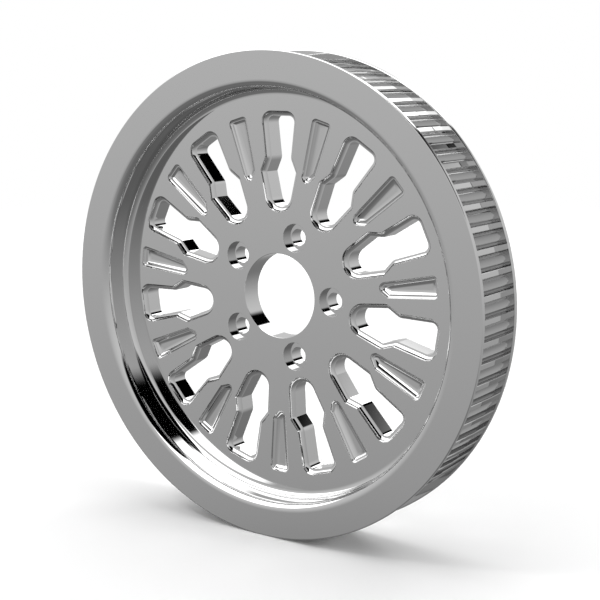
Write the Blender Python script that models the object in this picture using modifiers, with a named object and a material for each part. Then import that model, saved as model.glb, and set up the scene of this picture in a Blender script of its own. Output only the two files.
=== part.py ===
"""Wheel pulley for a toothed belt, machined from one billet of aluminium.

The blank is turned first: two flanges with the belt band between them, a recess with a rolled lip, and
the web. The teeth are then cut around the band, and the web is milled: the bore, the bolt holes with
their counterbores, the windows with a cove along their edge, and the blind flutes between the windows.

The wheel's axis is Y. Its front looks along -Y, +Z is up and the origin is in the middle of its width.
Lengths are in metres. Outlines on the web are given for the window or flute that points straight up:
across is measured to the right, and radius is measured from the wheel's axis.
"""

from math import acos, asin, atan2, cos, pi, radians, sin, sqrt, tan

import bmesh
import bpy
from mathutils import Matrix, Vector

# Belt drive: a curvilinear belt of 14 mm pitch, whose pitch line runs outside the lands of the teeth
TEETH = 70
BELT_PITCH = 0.014
PITCH_LINE_OFFSET = 0.0014
BELT_FACE = 0.0387
GROOVE_RADIUS = 0.0049
GROOVE_DEPTH = 0.0061
LAND_EDGE_ROUND = 0.0006

# Flanges
FLANGE_HEIGHT = 0.00493
FLANGE_RIM = 0.0030
FLANGE_FLARE = 0.0004
FLANGE_EDGE_ROUND = 0.0005

# Recess in the front: a full lip inside the flat outer ring, a straight wall and a cove into the web
FRONT_RING = 0.0184
LIP_ROUND = 0.0054
WEB_COVE = 0.0043

# Web and the plain recess behind it
WEB_SETBACK = 0.0195
WEB_THICKNESS = 0.0148
REAR_WALL = 0.0120
REAR_FILLET = 0.0040
REAR_EDGE_BREAK = 0.0008

# Hub: the bore and the bolt holes, whose heads sit in counterbores
BORE_RADIUS = 0.0282
BOLT_COUNT = 5
BOLT_CIRCLE_RADIUS = 0.041275
BOLT_HOLE_RADIUS = 0.0056
COUNTERBORE_RADIUS = 0.0093
COUNTERBORE_DEPTH = 0.0043

# Windows through the web: a round inner end, shoulders, a waist and a wide top, each rising from the last
SPOKES = 11
WINDOW_END_RADIUS = 0.0553
WINDOW_END_FILLET = 0.0110
WINDOW_SHOULDER_RISE = 0.0262
WINDOW_SHOULDER_HALF_WIDTH = 0.0149
WINDOW_SHOULDER_FILLET = 0.0036
WINDOW_WAIST_RISE = 0.0093
WINDOW_WAIST_HALF_WIDTH = 0.01085
WINDOW_WAIST_FILLET = 0.0030
WINDOW_TOP_RISE = 0.0300
WINDOW_TOP_HALF_WIDTH = 0.0144
WINDOW_TOP_FILLET = 0.0073
WINDOW_COVE = 0.0032

# Blind flutes between the windows: a small cove along the edge, then a wide one down to the floor.
# The side and the heel rise from the toe, and the top rises from the heel
FLUTE_TOE_RADIUS = 0.0760
FLUTE_TOE_ACROSS = -0.0014
FLUTE_TOE_FILLET = 0.0032
FLUTE_SIDE_RISE = 0.0050
FLUTE_SIDE_ACROSS = -0.0050
FLUTE_SIDE_FILLET = 0.0032
FLUTE_HEEL_RISE = 0.0077
FLUTE_HEEL_ACROSS = 0.0051
FLUTE_HEEL_FILLET = 0.0019
FLUTE_TOP_RISE = 0.0362
FLUTE_TOP_HALF_WIDTH = 0.0074
FLUTE_TOP_FILLET = 0.0029
FLUTE_EDGE_COVE = 0.0016
FLUTE_SHELF = 0.0001
FLUTE_BALL_RADIUS = 0.0047
FLUTE_DEPTH = 0.00345

# How finely round shapes are divided
FACETS_PER_TOOTH = 1
LIP_STEPS = 6
WEB_COVE_STEPS = 4
GROOVE_STEPS = 6
COVE_STEPS = 2
FILLET_STEPS = 2
TOP_FILLET_STEPS = 3
END_STEPS = 7
HOLE_STEPS = 18

# How far a cutter reaches past the metal that it cuts
CLEAR = 0.002

# Sizes that follow from those above
LAND_RADIUS = TEETH * BELT_PITCH / (2 * pi) - PITCH_LINE_OFFSET
FLANGE_RADIUS = LAND_RADIUS + FLANGE_HEIGHT
WIDTH = BELT_FACE + 2 * (FLANGE_RIM + FLANGE_FLARE)
FRONT = -WIDTH / 2
REAR = WIDTH / 2
BAND_FRONT = FRONT + FLANGE_RIM + FLANGE_FLARE
BAND_REAR = REAR - FLANGE_RIM - FLANGE_FLARE
WEB_FRONT = FRONT + WEB_SETBACK
WEB_REAR = WEB_FRONT + WEB_THICKNESS
REAR_RECESS_RADIUS = LAND_RADIUS - GROOVE_DEPTH - REAR_WALL
WINDOW_SHOULDER = WINDOW_END_RADIUS + WINDOW_SHOULDER_RISE
WINDOW_WAIST = WINDOW_SHOULDER + WINDOW_WAIST_RISE
WINDOW_TOP = WINDOW_WAIST + WINDOW_TOP_RISE
FLUTE_SIDE = FLUTE_TOE_RADIUS + FLUTE_SIDE_RISE
FLUTE_HEEL = FLUTE_TOE_RADIUS + FLUTE_HEEL_RISE
FLUTE_TOP = FLUTE_HEEL + FLUTE_TOP_RISE
TURN_STEPS = TEETH * FACETS_PER_TOOTH


def clear_scene():
    for old in list(bpy.data.objects):
        bpy.data.objects.remove(old, do_unlink=True)


def collection(name, hidden=False):
    made = bpy.data.collections.new(name)
    made.hide_render = hidden
    bpy.context.scene.collection.children.link(made)
    return made


def mesh_object(name, bm, home):
    """Makes an object of a bmesh, with its faces turned outwards, and links it to a collection."""
    bmesh.ops.recalc_face_normals(bm, faces=bm.faces)
    mesh = bpy.data.meshes.new(name)
    bm.to_mesh(mesh)
    bm.free()
    made = bpy.data.objects.new(name, mesh)
    home.objects.link(made)
    return made


def arc(centre, radius, start, end, steps):
    """Points on an arc, both ends included."""
    turns = [start + (end - start) * step / steps for step in range(steps + 1)]
    return [(centre[0] + radius * cos(turn), centre[1] + radius * sin(turn)) for turn in turns]


def rounded_outline(corners):
    """A closed outline whose corners, each (across, radius, fillet, steps), are rounded by their fillets."""
    points = []
    for index, (across, radius, fillet, steps) in enumerate(corners):
        corner = Vector((across, radius))
        before = (Vector(corners[index - 1][:2]) - corner).normalized()
        after = (Vector(corners[(index + 1) % len(corners)][:2]) - corner).normalized()
        half_angle = acos(before.dot(after)) / 2
        centre = corner + (before + after).normalized() * fillet / sin(half_angle)
        reach = fillet / tan(half_angle)
        first = corner + before * reach - centre
        last = corner + after * reach - centre
        start = atan2(first.y, first.x)
        swept = (atan2(last.y, last.x) - start + pi) % (2 * pi) - pi
        points += arc(centre, fillet, start, start + swept, steps)
    return points


def outline_face(bm, outline, y):
    """A flat face across the wheel's axis, with the outline's radius direction upwards."""
    return bm.faces.new([bm.verts.new((across, y, radius)) for across, radius in outline])


def cove_profile(radius, depth, steps):
    """(inset, depth) pairs down the wall that a ball-ended tool leaves, from its top to the floor."""
    start = acos((radius - depth) / radius) if depth < radius else pi / 2
    width = radius * sin(start)
    pairs = []
    for step in range(steps + 1):
        slope = start * (1 - step / steps)
        pairs.append((width - radius * sin(slope), depth - radius * (1 - cos(slope))))
    return pairs


def repeat_around(bm, count, first_turn=0.0):
    """Copies all that a bmesh holds around the wheel's axis, clockwise seen from the front."""
    original = bm.verts[:] + bm.edges[:] + bm.faces[:]
    for index in range(1, count):
        copied = bmesh.ops.duplicate(bm, geom=original)["geom"]
        verts = [item for item in copied if isinstance(item, bmesh.types.BMVert)]
        turn = Matrix.Rotation(index * 2 * pi / count, 3, "Y")
        bmesh.ops.rotate(bm, cent=(0, 0, 0), matrix=turn, verts=verts)
    bmesh.ops.rotate(bm, cent=(0, 0, 0), matrix=Matrix.Rotation(first_turn, 3, "Y"), verts=bm.verts)


def turned_profile():
    """The blank's section as a closed loop of (radius, y) points."""
    lip = FLANGE_RADIUS - FRONT_RING
    wall = lip - LIP_ROUND
    edge = FLANGE_EDGE_ROUND
    # The lands lie in the middle of the blank's facets
    land = LAND_RADIUS / cos(pi / TURN_STEPS)
    points = [(BORE_RADIUS, WEB_FRONT)]
    # Cove, wall and lip of the front recess, out to the flat ring
    points += arc((wall - WEB_COVE, WEB_FRONT - WEB_COVE), WEB_COVE, pi / 2, 0, WEB_COVE_STEPS)
    points += arc((lip, FRONT + LIP_ROUND), LIP_ROUND, pi, 3 * pi / 2, LIP_STEPS)
    # Front flange, belt band and rear flange
    points += [(FLANGE_RADIUS - edge, FRONT), (FLANGE_RADIUS, FRONT + edge)]
    points += [(FLANGE_RADIUS, FRONT + FLANGE_RIM - edge), (FLANGE_RADIUS - edge, FRONT + FLANGE_RIM)]
    points += [(land, BAND_FRONT), (land, BAND_REAR)]
    points += [(FLANGE_RADIUS - edge, REAR - FLANGE_RIM), (FLANGE_RADIUS, REAR - FLANGE_RIM + edge)]
    points += [(FLANGE_RADIUS, REAR - edge), (FLANGE_RADIUS - edge, REAR)]
    # Plain recess behind the web
    points += [(REAR_RECESS_RADIUS + REAR_EDGE_BREAK, REAR), (REAR_RECESS_RADIUS, REAR - REAR_EDGE_BREAK)]
    fillet_centre = (REAR_RECESS_RADIUS - REAR_FILLET, WEB_REAR + REAR_FILLET)
    points += arc(fillet_centre, REAR_FILLET, 0, -pi / 2, FILLET_STEPS)
    points += [(BORE_RADIUS, WEB_REAR)]
    return points


def turned_blank(home):
    """The blank as it leaves the lathe: its section, turned about the axis by a Screw modifier."""
    bm = bmesh.new()
    verts = [bm.verts.new((0, y, radius)) for radius, y in turned_profile()]
    for first, second in zip(verts, verts[1:] + verts[:1]):
        bm.edges.new((second, first))
    blank = mesh_object("pulley", bm, home)
    screw = blank.modifiers.new("turning", "SCREW")
    screw.axis = "Y"
    screw.steps = screw.render_steps = TURN_STEPS
    screw.use_merge_vertices = True
    screw.merge_threshold = 0.00001
    return blank


def groove_cutter(home):
    """The spaces between the teeth: a round bottom, upright sides and rounded edges at the lands."""
    centre = LAND_RADIUS - GROOVE_DEPTH + GROOVE_RADIUS
    edge = LAND_EDGE_ROUND
    side = GROOVE_RADIUS + edge
    outline = [(-side, LAND_RADIUS + CLEAR), (-side, LAND_RADIUS), (-GROOVE_RADIUS, LAND_RADIUS - edge)]
    outline += arc((0, centre), GROOVE_RADIUS, pi, 2 * pi, GROOVE_STEPS)
    outline += [(GROOVE_RADIUS, LAND_RADIUS - edge), (side, LAND_RADIUS), (side, LAND_RADIUS + CLEAR)]
    bm = bmesh.new()
    milled_solid(bm, outline, [(0, BAND_FRONT), (0, BAND_REAR)])
    repeat_around(bm, TEETH)
    return mesh_object("groove_cutter", bm, home)


def milled_solid(bm, outline, levels):
    """A closed solid from one (inset, y) level to the next, its outline inset further at each of them."""
    face = outline_face(bm, outline, levels[0][1])
    extruded = bmesh.ops.extrude_face_region(bm, geom=[face], use_keep_orig=True)["geom"]
    face = next(item for item in extruded if isinstance(item, bmesh.types.BMFace))
    for vert in face.verts:
        vert.co.y = levels[1][1]
    for (reached, _), (inset, y) in zip(levels[1:], levels[2:]):
        if inset > reached:
            bmesh.ops.inset_region(bm, faces=[face], thickness=inset - reached, use_even_offset=True)
        else:
            face = bmesh.ops.extrude_discrete_faces(bm, faces=[face])["faces"][0]
        for vert in face.verts:
            vert.co.y = y


def window_cutter(home):
    """The windows: a cove from the web's face, then straight walls right through it."""
    half = [
        (WINDOW_TOP_HALF_WIDTH, WINDOW_TOP, WINDOW_TOP_FILLET, TOP_FILLET_STEPS),
        (WINDOW_WAIST_HALF_WIDTH, WINDOW_WAIST, WINDOW_WAIST_FILLET, FILLET_STEPS),
        (WINDOW_SHOULDER_HALF_WIDTH, WINDOW_SHOULDER, WINDOW_SHOULDER_FILLET, FILLET_STEPS),
    ]
    # The sides below the shoulders lean towards a point from which the round end swings
    end_centre = WINDOW_END_RADIUS + WINDOW_END_FILLET
    rise = WINDOW_SHOULDER - end_centre
    slant = sqrt(rise**2 + WINDOW_SHOULDER_HALF_WIDTH**2)
    lean = atan2(WINDOW_SHOULDER_HALF_WIDTH, rise) - asin(WINDOW_END_FILLET / slant)
    point = end_centre - WINDOW_END_FILLET / sin(lean)
    corners = half + [(0.0, point, WINDOW_END_FILLET, END_STEPS)]
    corners += [(-across, radius, fillet, steps) for across, radius, fillet, steps in reversed(half)]
    levels = [(0, WEB_FRONT - CLEAR), (0, WEB_FRONT)]
    for inset, depth in cove_profile(WINDOW_COVE, WINDOW_COVE, COVE_STEPS)[1:]:
        levels.append((inset, WEB_FRONT + depth))
    levels.append((WINDOW_COVE, WEB_REAR + CLEAR))
    bm = bmesh.new()
    milled_solid(bm, rounded_outline(corners), levels)
    repeat_around(bm, SPOKES)
    return mesh_object("window_cutter", bm, home)


def inside_of(outline, inset):
    """What is left of a convex outline, inset by the same distance from each of its edges."""
    bm = bmesh.new()
    outline_face(bm, outline, 0)
    middle = sum((Vector(point) for point in outline), Vector((0, 0))) / len(outline)
    for first, second in zip(outline, outline[1:] + outline[:1]):
        along = (Vector(second) - Vector(first)).normalized()
        inward = Vector((-along.y, along.x))
        if inward.dot(middle - Vector(first)) < 0:
            inward.negate()
        place = Vector(first) + inward * inset
        geometry = bm.verts[:] + bm.edges[:] + bm.faces[:]
        bmesh.ops.bisect_plane(
            bm,
            geom=geometry,
            plane_co=(place.x, 0, place.y),
            plane_no=(-inward.x, 0, -inward.y),
            clear_outer=True,
        )
    points = [(vert.co.x, vert.co.z) for vert in bm.verts]
    bm.free()
    return points


def flute_cutter(name, outline, levels, home):
    """Solids over a convex outline that narrow with depth by each level's (inset, depth)."""
    bm = bmesh.new()
    for inset, depth in levels:
        for across, radius in inside_of(outline, inset):
            bm.verts.new((across, WEB_FRONT + depth, radius))
    bmesh.ops.convex_hull(bm, input=bm.verts)
    repeat_around(bm, SPOKES, pi / SPOKES)
    return mesh_object(name, bm, home)


def flute_cutters(home):
    """The flutes: the small cove around the edge, and the wide one inside it down to the floor."""
    corners = [
        (FLUTE_TOP_HALF_WIDTH, FLUTE_TOP, FLUTE_TOP_FILLET, FILLET_STEPS),
        (FLUTE_HEEL_ACROSS, FLUTE_HEEL, FLUTE_HEEL_FILLET, FILLET_STEPS),
        (FLUTE_TOE_ACROSS, FLUTE_TOE_RADIUS, FLUTE_TOE_FILLET, FILLET_STEPS),
        (FLUTE_SIDE_ACROSS, FLUTE_SIDE, FLUTE_SIDE_FILLET, FILLET_STEPS),
        (-FLUTE_TOP_HALF_WIDTH, FLUTE_TOP, FLUTE_TOP_FILLET, FILLET_STEPS),
    ]
    outline = rounded_outline(corners)
    edge_levels = [(0, -CLEAR)] + cove_profile(FLUTE_EDGE_COVE, FLUTE_EDGE_COVE, FILLET_STEPS)
    ridge = FLUTE_EDGE_COVE + FLUTE_SHELF
    below = FLUTE_DEPTH - FLUTE_EDGE_COVE
    wide_levels = [(ridge, -CLEAR)]
    for inset, depth in cove_profile(FLUTE_BALL_RADIUS, below, COVE_STEPS):
        wide_levels.append((ridge + inset, FLUTE_EDGE_COVE + depth))
    return [
        flute_cutter("flute_edge_cutter", outline, edge_levels, home),
        flute_cutter("flute_floor_cutter", outline, wide_levels, home),
    ]


def hole_cutter(name, radius, y_from, y_to, home):
    """Round holes on the bolt circle, the first of them level with the axis on the right."""
    bm = bmesh.new()
    place = Matrix.Translation((BOLT_CIRCLE_RADIUS, (y_from + y_to) / 2, 0))
    bmesh.ops.create_cone(
        bm,
        cap_ends=True,
        segments=HOLE_STEPS,
        radius1=radius,
        radius2=radius,
        depth=y_to - y_from,
        matrix=place @ Matrix.Rotation(pi / 2, 4, "X"),
    )
    repeat_around(bm, BOLT_COUNT)
    return mesh_object(name, bm, home)


def cut(target, cutter):
    cutter.hide_render = True
    cutter.display_type = "WIRE"
    boolean = target.modifiers.new(cutter.name, "BOOLEAN")
    boolean.operation = "DIFFERENCE"
    boolean.solver = "EXACT"
    boolean.object = cutter


def polished_metal():
    metal = bpy.data.materials.new("polished_metal")
    metal.use_nodes = True
    shader = metal.node_tree.nodes["Principled BSDF"]
    shader.inputs["Base Color"].default_value = (0.78, 0.78, 0.78, 1)
    shader.inputs["Metallic"].default_value = 1.0
    shader.inputs["Roughness"].default_value = 0.08
    return metal


def finish(wheel):
    """Keeps the machined mesh as the wheel's own, shaded smooth between its edges."""
    bpy.context.view_layer.update()
    graph = bpy.context.evaluated_depsgraph_get()
    machined = bpy.data.meshes.new_from_object(wheel.evaluated_get(graph))
    wheel.modifiers.clear()
    wheel.data = machined
    machined.name = "pulley"
    machined.shade_smooth()
    machined.set_sharp_from_angle(angle=radians(25))
    machined.materials.clear()
    machined.materials.append(polished_metal())


clear_scene()
parts = collection("wheel_pulley")
cutters = collection("cutters", hidden=True)
pulley = turned_blank(parts)
cut(pulley, groove_cutter(cutters))
counterbore_floor = WEB_FRONT + COUNTERBORE_DEPTH
cut(pulley, hole_cutter("counterbore_cutter", COUNTERBORE_RADIUS, WEB_FRONT - CLEAR, counterbore_floor, cutters))
cut(pulley, hole_cutter("bolt_hole_cutter", BOLT_HOLE_RADIUS, WEB_FRONT - CLEAR, WEB_REAR + CLEAR, cutters))
cut(pulley, window_cutter(cutters))
for flutes in flute_cutters(cutters):
    cut(pulley, flutes)
finish(pulley)
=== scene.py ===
"""A wheel pulley for a toothed belt, standing on its rim on a pale studio floor.

The wheel is one piece of aluminium, machined, polished and chromed to a mirror. Its axis is Y, the dished
front looks along -Y and +Z is up. All lengths are in metres.
"""

from math import acos, asin, atan2, cos, pi, radians, sin, sqrt, tan

import bmesh
import bpy
from mathutils import Euler, Matrix, Vector


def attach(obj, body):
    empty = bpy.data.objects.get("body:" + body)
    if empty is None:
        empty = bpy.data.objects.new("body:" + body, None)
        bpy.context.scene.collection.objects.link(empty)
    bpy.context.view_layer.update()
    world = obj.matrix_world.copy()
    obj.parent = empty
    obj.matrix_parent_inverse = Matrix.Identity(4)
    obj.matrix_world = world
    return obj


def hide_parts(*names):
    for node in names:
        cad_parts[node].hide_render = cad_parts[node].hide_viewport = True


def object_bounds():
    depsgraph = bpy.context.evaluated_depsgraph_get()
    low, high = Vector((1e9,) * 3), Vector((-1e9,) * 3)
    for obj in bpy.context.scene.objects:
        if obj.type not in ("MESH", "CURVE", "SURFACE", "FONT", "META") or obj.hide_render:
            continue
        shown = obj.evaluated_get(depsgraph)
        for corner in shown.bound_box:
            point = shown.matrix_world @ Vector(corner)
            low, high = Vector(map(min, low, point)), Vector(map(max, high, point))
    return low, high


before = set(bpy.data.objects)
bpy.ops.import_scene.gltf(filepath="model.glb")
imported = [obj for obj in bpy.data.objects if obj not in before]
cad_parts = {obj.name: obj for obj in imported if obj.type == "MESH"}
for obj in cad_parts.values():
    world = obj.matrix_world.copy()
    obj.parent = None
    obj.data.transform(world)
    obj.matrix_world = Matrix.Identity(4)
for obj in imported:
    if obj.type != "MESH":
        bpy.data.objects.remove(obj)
cad_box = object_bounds()


# ---- Turned blank ----
# The blank of the wheel comes off the lathe first: two thin flanges, the band for the belt between them,
# a dished recess in the front whose lip is rolled over, and a plain recess behind the web.

WHEEL_RADIUS = 0.1595
HALF_WIDTH = 0.02275
FLANGE_THICKNESS = 0.0030
FLANGE_FOOT_THICKNESS = 0.0031
FLANGE_ROUND = 0.0005
LAND_RADIUS = 0.15457
WEB_FRONT = -0.00325
WEB_REAR = 0.01155
RECESS_RADIUS = 0.1357
RECESS_COVE = 0.0043
RECESS_LIP = 0.0054
REAR_RECESS_RADIUS = 0.1365
REAR_RECESS_COVE = 0.0040
REAR_RECESS_LIP = 0.0008
BORE_RADIUS = 0.0282
BORE_ROUND = 0.0002
TURNED_STEPS = 490
GUARD = 0.0002
WELD = 0.000001


def draw_loop(corners, normal):
    """A closed wire through corners of (place, fillet, steps), each rounded by spinning a vertex."""
    bm = bmesh.new()
    places = [Vector(place) for place, _, _ in corners]
    start = bm.verts.new((places[0] + places[-1]) / 2)
    last = start
    for index, (_, fillet, steps) in enumerate(corners):
        corner = places[index]
        before = (places[index - 1] - corner).normalized()
        after = (places[(index + 1) % len(places)] - corner).normalized()
        half_angle = before.angle(after) / 2
        reach = fillet / tan(half_angle)
        stops = [corner]
        if fillet:
            # A second point just before the round keeps the flat beside it flat when it is shaded
            stops = [corner + before * (reach + GUARD), corner + before * reach]
        for stop in stops:
            last = bmesh.ops.extrude_vert_indiv(bm, verts=[last])["verts"][0]
            last.co = stop
        if fillet:
            centre = corner + (before + after).normalized() * fillet / sin(half_angle)
            turn = (last.co - centre).angle(corner + after * reach - centre)
            if (last.co - centre).cross(corner + after * reach - centre).dot(Vector(normal)) < 0:
                turn = -turn
            spun = bmesh.ops.spin(bm, geom=[last], cent=centre, axis=normal, angle=turn, steps=steps)
            last = spun["geom_last"][0]
            last = bmesh.ops.extrude_vert_indiv(bm, verts=[last])["verts"][0]
            last.co = corner + after * (reach + GUARD)
    bm.edges.new((last, start))
    return bm


def as_object(name, bm):
    """Makes an object of a bmesh, with its faces turned outwards."""
    bmesh.ops.remove_doubles(bm, verts=bm.verts, dist=WELD)
    bmesh.ops.recalc_face_normals(bm, faces=bm.faces)
    mesh = bpy.data.meshes.new(name)
    bm.to_mesh(mesh)
    bm.free()
    made = bpy.data.objects.new(name, mesh)
    bpy.context.scene.collection.objects.link(made)
    return made


flange_inside = HALF_WIDTH - FLANGE_THICKNESS
foot_inside = HALF_WIDTH - FLANGE_FOOT_THICKNESS
blank = draw_loop(
    [
        ((0, WEB_FRONT, BORE_RADIUS), BORE_ROUND, 2),
        ((0, WEB_FRONT, RECESS_RADIUS), RECESS_COVE, 14),
        ((0, -HALF_WIDTH, RECESS_RADIUS), RECESS_LIP, 18),
        ((0, -HALF_WIDTH, WHEEL_RADIUS), FLANGE_ROUND, 4),
        ((0, -flange_inside, WHEEL_RADIUS), FLANGE_ROUND, 4),
        ((0, -foot_inside, LAND_RADIUS), 0, 0),
        ((0, foot_inside, LAND_RADIUS), 0, 0),
        ((0, flange_inside, WHEEL_RADIUS), FLANGE_ROUND, 4),
        ((0, HALF_WIDTH, WHEEL_RADIUS), FLANGE_ROUND, 4),
        ((0, HALF_WIDTH, REAR_RECESS_RADIUS), REAR_RECESS_LIP, 4),
        ((0, WEB_REAR, REAR_RECESS_RADIUS), REAR_RECESS_COVE, 10),
        ((0, WEB_REAR, BORE_RADIUS), BORE_ROUND, 2),
    ],
    (1, 0, 0),
)
bmesh.ops.spin(
    blank,
    geom=blank.verts[:] + blank.edges[:],
    cent=(0, 0, 0),
    axis=(0, 1, 0),
    angle=2 * pi,
    steps=TURNED_STEPS,
    use_merge=True,
)
wheel = as_object("wheel", blank)


# ---- Teeth ----
# The spaces for the belt's teeth are milled across the band between the flanges, 70 of them at a pitch of
# 14 mm. Each has a round bottom, upright sides and a small round where it meets the lands.

TOOTH_COUNT = 70
BAND_HALF_WIDTH = 0.0196
SPACE_HALF_WIDTH = 0.0049
SPACE_DEPTH = 0.0061
SPACE_ROUND = 0.0046
LAND_ROUND = 0.0012
CUTTER_HALF_WIDTH = 0.0070
CUTTER_RISE = 0.0003
CUTTER_TOP = 0.0010


def milled_loop(*corners):
    """A closed wire that faces along the axis, through corners of across, height, fillet and its steps."""
    placed = [((across, 0, height), fillet, steps) for across, height, fillet, steps in corners]
    return draw_loop(placed, (0, 1, 0))


def milled_solid(bm, levels):
    """Raises a drawn outline along the axis through (inset, y) levels, and closes it at both ends."""
    face = bmesh.ops.contextual_create(bm, geom=bm.edges[:])["faces"][0]
    for vert in face.verts:
        vert.co.y = levels[0][1]
    raised = bmesh.ops.extrude_face_region(bm, geom=[face], use_keep_orig=True)["geom"]
    face = next(item for item in raised if isinstance(item, bmesh.types.BMFace))
    for vert in face.verts:
        vert.co.y = levels[1][1]
    for (reached, _), (inset, y) in zip(levels[1:], levels[2:]):
        if inset != reached:
            bmesh.ops.inset_region(bm, faces=[face], thickness=inset - reached, use_even_offset=True)
        else:
            face = bmesh.ops.extrude_discrete_faces(bm, faces=[face])["faces"][0]
        for vert in face.verts:
            vert.co.y = y


def repeat_around(bm, count, first_turn=0.0):
    """Copies all that a bmesh holds around the wheel's axis."""
    original = bm.verts[:] + bm.edges[:] + bm.faces[:]
    for index in range(1, count):
        copied = bmesh.ops.duplicate(bm, geom=original)["geom"]
        verts = [item for item in copied if isinstance(item, bmesh.types.BMVert)]
        turn = Matrix.Rotation(index * 2 * pi / count, 3, "Y")
        bmesh.ops.rotate(bm, cent=(0, 0, 0), matrix=turn, verts=verts)
    bmesh.ops.rotate(bm, cent=(0, 0, 0), matrix=Matrix.Rotation(first_turn, 3, "Y"), verts=bm.verts)


def machine(cutter):
    """Cuts a solid out of the wheel."""
    boolean = wheel.modifiers.new(cutter.name, "BOOLEAN")
    boolean.operation = "DIFFERENCE"
    boolean.solver = "EXACT"
    boolean.object = cutter
    bpy.context.view_layer.update()
    graph = bpy.context.evaluated_depsgraph_get()
    machined = bpy.data.meshes.new_from_object(wheel.evaluated_get(graph))
    wheel.modifiers.clear()
    old = wheel.data
    wheel.data = machined
    bpy.data.meshes.remove(old)
    bpy.data.objects.remove(cutter, do_unlink=True)


space_bottom = LAND_RADIUS - SPACE_DEPTH
# Above the lands the cutter's sides turn outwards, so that its rounds end level with the lands
tooth_space = milled_loop(
    (-CUTTER_HALF_WIDTH, LAND_RADIUS + CUTTER_TOP, 0, 0),
    (-CUTTER_HALF_WIDTH, LAND_RADIUS + CUTTER_RISE, 0, 0),
    (-SPACE_HALF_WIDTH, LAND_RADIUS, LAND_ROUND, 8),
    (-SPACE_HALF_WIDTH, space_bottom, SPACE_ROUND, 10),
    (SPACE_HALF_WIDTH, space_bottom, SPACE_ROUND, 10),
    (SPACE_HALF_WIDTH, LAND_RADIUS, LAND_ROUND, 8),
    (CUTTER_HALF_WIDTH, LAND_RADIUS + CUTTER_RISE, 0, 0),
    (CUTTER_HALF_WIDTH, LAND_RADIUS + CUTTER_TOP, 0, 0),
)
milled_solid(tooth_space, [(0, -BAND_HALF_WIDTH), (0, BAND_HALF_WIDTH)])
repeat_around(tooth_space, TOOTH_COUNT)
machine(as_object("tooth_spaces", tooth_space))


# ---- Windows ----
# Eleven windows are milled through the web. Each narrows to a waist, steps out to shoulders and ends in a
# half round towards the hub. A ball-ended tool has first run a cove around each, from the front, and the
# polishing has rounded every rim that the tools left on the web.

WINDOW_COUNT = 11
WINDOW_TOP = 0.1208
WINDOW_HALF_WIDTH = 0.01440
WAIST_HEIGHT = 0.0908
WAIST_HALF_WIDTH = 0.01085
SHOULDER_HEIGHT = 0.0815
SHOULDER_HALF_WIDTH = 0.01490
WINDOW_END = 0.0553
WINDOW_END_RADIUS = 0.0110
WINDOW_COVE = 0.0032
WINDOW_COVE_STEPS = 8
EDGE_ROUND = 0.00012
EDGE_STEPS = 3
OVERRUN = 0.002


def rounded_entry():
    """Levels of a cutter that enters the front of the web and leaves its rim rounded."""
    levels = [(0, WEB_FRONT - OVERRUN), (0, WEB_FRONT - OVERRUN / 2), (-EDGE_ROUND, WEB_FRONT - OVERRUN / 4)]
    for step in range(EDGE_STEPS + 1):
        swing = step * pi / (2 * EDGE_STEPS)
        levels.append((EDGE_ROUND * (sin(swing) - 1), WEB_FRONT + EDGE_ROUND * (1 - cos(swing))))
    return levels


def rounded_exit(inset):
    """Levels of a cutter that leaves the rear of the web through a rounded rim."""
    levels = []
    for step in range(EDGE_STEPS + 1):
        swing = step * pi / (2 * EDGE_STEPS)
        levels.append((inset - EDGE_ROUND * (1 - cos(swing)), WEB_REAR - EDGE_ROUND * (1 - sin(swing))))
    return levels + [(inset - EDGE_ROUND, WEB_REAR + OVERRUN)]


def cove(radius, first, steps):
    """Levels of the quarter round that a ball-ended tool leaves below the front of the web."""
    levels = []
    for step in range(first, steps + 1):
        swing = step * pi / (2 * steps)
        levels.append((radius * (1 - cos(swing)), WEB_FRONT + radius * sin(swing)))
    return levels


# The sides below the shoulders lean to the point that the round end is drawn from
end_centre = WINDOW_END + WINDOW_END_RADIUS
rise = SHOULDER_HEIGHT - end_centre
slant = sqrt(rise**2 + SHOULDER_HALF_WIDTH**2)
lean = atan2(SHOULDER_HALF_WIDTH, rise) - asin(WINDOW_END_RADIUS / slant)
window_point = end_centre - WINDOW_END_RADIUS / sin(lean)
window = milled_loop(
    (WINDOW_HALF_WIDTH, WINDOW_TOP, 0.0073, 12),
    (WAIST_HALF_WIDTH, WAIST_HEIGHT, 0.0030, 6),
    (SHOULDER_HALF_WIDTH, SHOULDER_HEIGHT, 0.0036, 8),
    (0, window_point, WINDOW_END_RADIUS, 24),
    (-SHOULDER_HALF_WIDTH, SHOULDER_HEIGHT, 0.0036, 8),
    (-WAIST_HALF_WIDTH, WAIST_HEIGHT, 0.0030, 6),
    (-WINDOW_HALF_WIDTH, WINDOW_TOP, 0.0073, 12),
)
milled_solid(window, rounded_entry() + cove(WINDOW_COVE, 1, WINDOW_COVE_STEPS) + rounded_exit(WINDOW_COVE))
repeat_around(window, WINDOW_COUNT)
machine(as_object("windows", window))


# ---- Flutes ----
# A blind flute lies between each two windows. Its outline tapers towards the hub and ends askew. A small
# cove follows its edge, and inside a ridge a wider one runs down to a flat floor.

FLUTE_TOP = 0.1199
FLUTE_HALF_WIDTH = 0.0074
FLUTE_EDGE_COVE = 0.0016
FLUTE_EDGE_STEPS = 6
FLUTE_RIDGE = 0.0017
FLUTE_BALL = 0.0047
FLUTE_BALL_STEPS = 8
FLUTE_DEPTH = 0.00345
PLANE_TOLERANCE = 0.0000001

flute_corners = [
    (FLUTE_HALF_WIDTH, FLUTE_TOP, 0.0029, 10),
    (0.0051, 0.0837, 0.0019, 8),
    (-0.0014, 0.0760, 0.0032, 8),
    (-0.0050, 0.0810, 0.0032, 8),
    (-FLUTE_HALF_WIDTH, FLUTE_TOP, 0.0029, 10),
]


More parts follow.
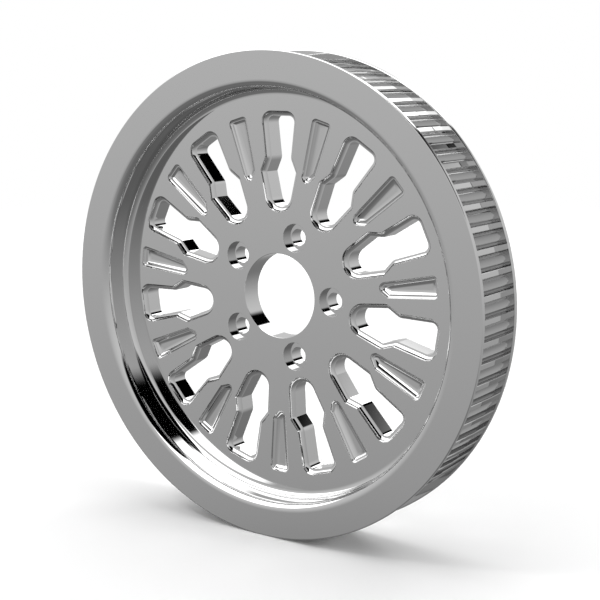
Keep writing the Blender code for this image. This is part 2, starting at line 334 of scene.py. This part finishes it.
def shrunk_flute(inset):
    """The outline that is left when the flute's is planed down by the same inset on every side."""
    bm = milled_loop(*flute_corners)
    bmesh.ops.remove_doubles(bm, verts=bm.verts, dist=WELD)
    bmesh.ops.contextual_create(bm, geom=bm.edges[:])
    middle = sum((vert.co for vert in bm.verts), Vector()) / len(bm.verts)
    sides = [(edge.verts[0].co.copy(), edge.verts[1].co - edge.verts[0].co) for edge in bm.edges]
    for place, side in sides:
        inward = Vector((0, 1, 0)).cross(side).normalized()
        if inward.dot(middle - place) < 0:
            inward.negate()
        bmesh.ops.bisect_plane(
            bm,
            geom=bm.verts[:] + bm.edges[:] + bm.faces[:],
            dist=PLANE_TOLERANCE,
            plane_co=place + inward * inset,
            plane_no=-inward,
            clear_outer=True,
        )
    return bm


flute_edge = milled_loop(*flute_corners)
# The cove begins at its second step, because the first would lie inside the round of the rim
milled_solid(flute_edge, rounded_entry() + cove(FLUTE_EDGE_COVE, 2, FLUTE_EDGE_STEPS))
repeat_around(flute_edge, WINDOW_COUNT, pi / WINDOW_COUNT)
machine(as_object("flute_edges", flute_edge))

ball_drop = FLUTE_DEPTH - FLUTE_EDGE_COVE
ball_start = acos((FLUTE_BALL - ball_drop) / FLUTE_BALL)
floor_levels = [(FLUTE_RIDGE, -OVERRUN)]
for step in range(FLUTE_BALL_STEPS + 1):
    slope = ball_start * (1 - step / FLUTE_BALL_STEPS)
    inset = FLUTE_RIDGE + FLUTE_BALL * (sin(ball_start) - sin(slope))
    floor_levels.append((inset, FLUTE_DEPTH - FLUTE_BALL * (1 - cos(slope))))
flute_floor = bmesh.new()
for inset, depth in floor_levels:
    loop = shrunk_flute(inset)
    for vert in loop.verts:
        flute_floor.verts.new((vert.co.x, WEB_FRONT + depth, vert.co.z))
    loop.free()
bmesh.ops.convex_hull(flute_floor, input=flute_floor.verts)
repeat_around(flute_floor, WINDOW_COUNT, pi / WINDOW_COUNT)
machine(as_object("flute_floors", flute_floor))


# ---- Hub ----
# Five bolt holes on a circle around the bore take the screws that hold the wheel to its hub. The heads of
# the screws sit in flat counterbores.

BOLT_COUNT = 5
BOLT_CIRCLE_RADIUS = 0.041275
BOLT_HOLE_RADIUS = 0.0056
COUNTERBORE_RADIUS = 0.0093
COUNTERBORE_DEPTH = 0.0043
DRILLED_STEPS = 72


def drill(name, radius, levels):
    """Round cutters on the bolt circle that run through (inset, y) levels."""
    bm = bmesh.new()
    upright = Matrix.Rotation(pi / 2, 4, "X")
    bmesh.ops.create_circle(bm, segments=DRILLED_STEPS, radius=radius, matrix=upright)
    bmesh.ops.translate(bm, vec=(BOLT_CIRCLE_RADIUS, 0, 0), verts=bm.verts)
    milled_solid(bm, levels)
    repeat_around(bm, BOLT_COUNT)
    machine(as_object(name, bm))


drill("counterbores", COUNTERBORE_RADIUS, rounded_entry() + [(0, WEB_FRONT + COUNTERBORE_DEPTH)])
hole_start = [(0, WEB_FRONT), (0, WEB_FRONT + OVERRUN / 2)]
drill("bolt_holes", BOLT_HOLE_RADIUS, hole_start + rounded_exit(0))


# ---- Polish ----
# The machined wheel is polished all over and chromed. It is a mirror with the faintest trace of the buffing
# wheel, which followed the turned rings, so its traces run around the axis.

SHARP_ANGLE = radians(32)
CHROME_GREY = 0.63
TRACE_SCALE = 900.0
TRACE_DEPTH = 0.00005
TRACE_STRENGTH = 0.01
HAZE_SCALE = 14.0
LEAST_ROUGHNESS = 0.02
TRACE_ROUGHNESS = 0.02
HAZE_ROUGHNESS = 0.03


class Socket:
    """A shader socket that is added to, multiplied and so on as a plain number is."""

    def __init__(self, tree, link):
        self.tree = tree
        self.link = link

    def put(self, kind, settings, sockets, out=0):
        """Adds a node, sets its settings and then its sockets, and gives back one of its outputs."""
        node = self.tree.nodes.new(kind)
        for name, value in settings.items():
            if name == "stops":
                ramp = node.color_ramp
                while len(ramp.elements) < len(value):
                    ramp.elements.new(0.5)
                for element, (place, _) in zip(ramp.elements, value):
                    element.position = place
                for element, (_, level) in zip(ramp.elements, value):
                    element.color = (level, level, level, 1)
            else:
                setattr(node, name, value)
        for name, value in sockets.items():
            if isinstance(value, Socket):
                self.tree.links.new(value.link, node.inputs[name])
            else:
                node.inputs[name].default_value = value
        return None if out is None else Socket(self.tree, node.outputs[out])

    def beside(self, name):
        """Another output of the same node."""
        return Socket(self.tree, self.link.node.outputs[name])

    def math(self, operation, *values):
        return self.put("ShaderNodeMath", {"operation": operation}, dict(enumerate(values)))

    def blend(self, low, high):
        """0 below low and 1 above high, with a smooth step between."""
        limits = {"Value": self, "From Min": low, "From Max": high}
        return self.put("ShaderNodeMapRange", {"interpolation_type": "SMOOTHSTEP"}, limits)

    def ramp(self, stops):
        return self.put("ShaderNodeValToRGB", {"stops": stops}, {0: self})

    def grey(self):
        return self.put("ShaderNodeCombineColor", {}, {0: self, 1: self, 2: self})

    def __add__(self, other):
        return self.math("ADD", self, other)

    def __sub__(self, other):
        return self.math("SUBTRACT", self, other)

    def __rsub__(self, other):
        return self.math("SUBTRACT", other, self)

    def __mul__(self, other):
        return self.math("MULTIPLY", self, other)

    __radd__ = __add__
    __rmul__ = __mul__


wheel.data.shade_smooth()
wheel.data.set_sharp_from_angle(angle=SHARP_ANGLE)
evened = wheel.modifiers.new("evened_shading", "WEIGHTED_NORMAL")
evened.keep_sharp = True

chrome = bpy.data.materials.new("polished_chrome")
chrome.use_nodes = True
shader = chrome.node_tree.nodes["Principled BSDF"]
shader.inputs["Metallic"].default_value = 1.0
shader.inputs["Base Color"].default_value = (CHROME_GREY, CHROME_GREY, CHROME_GREY, 1)
metal = Socket(chrome.node_tree, None)
spot = metal.put("ShaderNodeTexCoord", {}, {}, "Object")
across = metal.put("ShaderNodeSeparateXYZ", {}, {0: spot}, "X")
along = across.beside("Y")
height = across.beside("Z")
squares = across * across + height * height
radius = squares.math("SQRT", squares)
rings = metal.put("ShaderNodeCombineXYZ", {}, {0: radius, 1: along})
traces = metal.put("ShaderNodeTexNoise", {}, {"Vector": rings, "Scale": TRACE_SCALE, "Detail": 2.0})
haze = metal.put("ShaderNodeTexNoise", {}, {"Vector": spot, "Scale": HAZE_SCALE, "Detail": 3.0})
relief = {"Height": traces, "Strength": TRACE_STRENGTH, "Distance": TRACE_DEPTH}
bump = metal.put("ShaderNodeBump", {}, relief)
roughness = traces * TRACE_ROUGHNESS + haze * HAZE_ROUGHNESS + LEAST_ROUGHNESS
metal.tree.links.new(roughness.link, shader.inputs["Roughness"])
metal.tree.links.new(bump.link, shader.inputs["Normal"])
wheel.data.materials.clear()
wheel.data.materials.append(chrome)
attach(wheel, "root")
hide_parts("pulley")


# ---- Studio ----
# The wheel stands on a white floor that fades into a white backdrop. The room that shows in the metal has
# pale grey walls, a dark ground, and above them one white half and one black half.

GROUND_TONES = ((-1.0, 0.18), (-0.77, 0.20), (-0.57, 0.26), (-0.42, 0.39))
WALL_TONES = ((0.0, 0.66), (0.2, 0.75), (0.35, 0.80))
FRONT = radians(-37)
FRONT_SHADE = 0.3
CEILING_START = 0.396
CEILING_FULL = 0.502
CEILING_WHITE = 3.0
WHITE_SIDE = (-0.981, -0.020, 0.086)
WHITE_REACH = 0.007
WHITE_EDGE = 0.03
EVEN_LIGHT = 0.27
WHITE = (1, 1, 1, 1)
PAPER = (0.96, 0.96, 0.96, 1)
FLOOR_RADIUS = 3.0
FADE_START = 0.6
FADE_END = 2.2
CAMERA_LENS = 79.14
CAMERA_PLACE = (0.50044, -0.69828, 0.15017)
CAMERA_TILT = radians(79.875)
CAMERA_TURN = radians(34.826)


def node_tree_of(block):
    """The emptied node tree of a world or a material."""
    block.use_nodes = True
    block.node_tree.nodes.clear()
    return block.node_tree


room = bpy.data.worlds.new("studio_room")
bpy.context.scene.world = room
room_nodes = Socket(node_tree_of(room), None)
facing = room_nodes.put("ShaderNodeTexCoord", {}, {}, "Generated")
along_x = room_nodes.put("ShaderNodeSeparateXYZ", {}, {0: facing}, "X")
along_y = along_x.beside("Y")
upwards = along_x.beside("Z")
wall = (upwards * 0.5 + 0.5).ramp([((rise + 1) / 2, tone) for rise, tone in GROUND_TONES + WALL_TONES])
# The ground in front of the wheel is a little darker than the rest
towards_front = along_x * sin(FRONT) - along_y * cos(FRONT)
in_front = towards_front.blend(0.70, 0.85) * (1 - upwards.blend(-0.43, -0.30))
wall = wall * (1 - in_front * FRONT_SHADE)
# The halves meet in a line that runs from front to back, a little to the right of overhead
sideways = along_x * WHITE_SIDE[0] + along_y * WHITE_SIDE[1] + upwards * WHITE_SIDE[2]
white_half = (sideways + WHITE_REACH).blend(-WHITE_EDGE, WHITE_EDGE)
ceiling = upwards.blend(CEILING_START, CEILING_FULL)
room_tone = wall * (1 - ceiling) + white_half * ceiling * CEILING_WHITE
room_light = room_nodes.put("ShaderNodeBackground", {}, {"Color": room_tone.grey(), "Strength": 1.0})
white_light = room_nodes.put("ShaderNodeBackground", {}, {"Color": WHITE, "Strength": 1.0})
even_light = room_nodes.put("ShaderNodeBackground", {}, {"Color": WHITE, "Strength": EVEN_LIGHT})
is_camera = room_nodes.put("ShaderNodeLightPath", {}, {}, "Is Camera Ray")
is_diffuse = is_camera.beside("Is Diffuse Ray")
seen = room_nodes.put("ShaderNodeMixShader", {}, {0: is_camera, 1: room_light, 2: white_light})
lit = room_nodes.put("ShaderNodeMixShader", {}, {0: is_diffuse, 1: seen, 2: even_light})
room_nodes.put("ShaderNodeOutputWorld", {}, {"Surface": lit}, None)

floor_mesh = bmesh.new()
ground = Matrix.Translation((0, 0, cad_box[0][2]))
bmesh.ops.create_circle(floor_mesh, cap_ends=True, segments=96, radius=FLOOR_RADIUS, matrix=ground)
floor = as_object("floor", floor_mesh)
paper = bpy.data.materials.new("floor_paper")
paper_nodes = Socket(node_tree_of(paper), None)
spot = paper_nodes.put("ShaderNodeTexCoord", {}, {}, "Object")
distance = paper_nodes.put("ShaderNodeVectorMath", {"operation": "LENGTH"}, {0: spot}, "Value")
fade = distance.blend(FADE_START, FADE_END)
matt = paper_nodes.put("ShaderNodeBsdfDiffuse", {}, {"Color": PAPER})
clear = paper_nodes.put("ShaderNodeBsdfTransparent", {}, {})
faded = paper_nodes.put("ShaderNodeMixShader", {}, {0: fade, 1: matt, 2: clear})
paper_nodes.put("ShaderNodeOutputMaterial", {}, {"Surface": faded}, None)
floor.data.materials.append(paper)
floor.visible_glossy = False


def softbox(name, place, size, watts):
    """A soft lamp that looks at the wheel. It lights the floor and isn't seen in the metal."""
    lamp_data = bpy.data.lights.new(name, "AREA")
    lamp_data.size = size
    lamp_data.energy = watts
    lamp = bpy.data.objects.new(name, lamp_data)
    bpy.context.scene.collection.objects.link(lamp)
    lamp.location = place
    lamp.rotation_euler = (-Vector(place)).to_track_quat("-Z", "Y").to_euler()
    lamp.visible_glossy = False
    lamp.visible_camera = False


softbox("overhead_softbox", (-0.2, 0.2, 2.4), 1.6, 14)
softbox("right_softbox", (2.2, 0.15, 1.3), 0.4, 15)
softbox("rear_softbox", (0.3, 2.0, 1.6), 1.0, 12)
softbox("left_softbox", (-1.0, -1.2, 2.2), 0.45, 10)

camera_data = bpy.data.cameras.new("camera")
camera_data.lens = CAMERA_LENS
camera_data.sensor_width = 36
camera = bpy.data.objects.new("camera", camera_data)
bpy.context.scene.collection.objects.link(camera)
camera_turn = Euler((CAMERA_TILT, 0, CAMERA_TURN))
camera.matrix_world = Matrix.LocRotScale(Vector(CAMERA_PLACE), camera_turn, None)
bpy.context.scene.camera = camera
bpy.context.scene.view_settings.view_transform = "Standard"
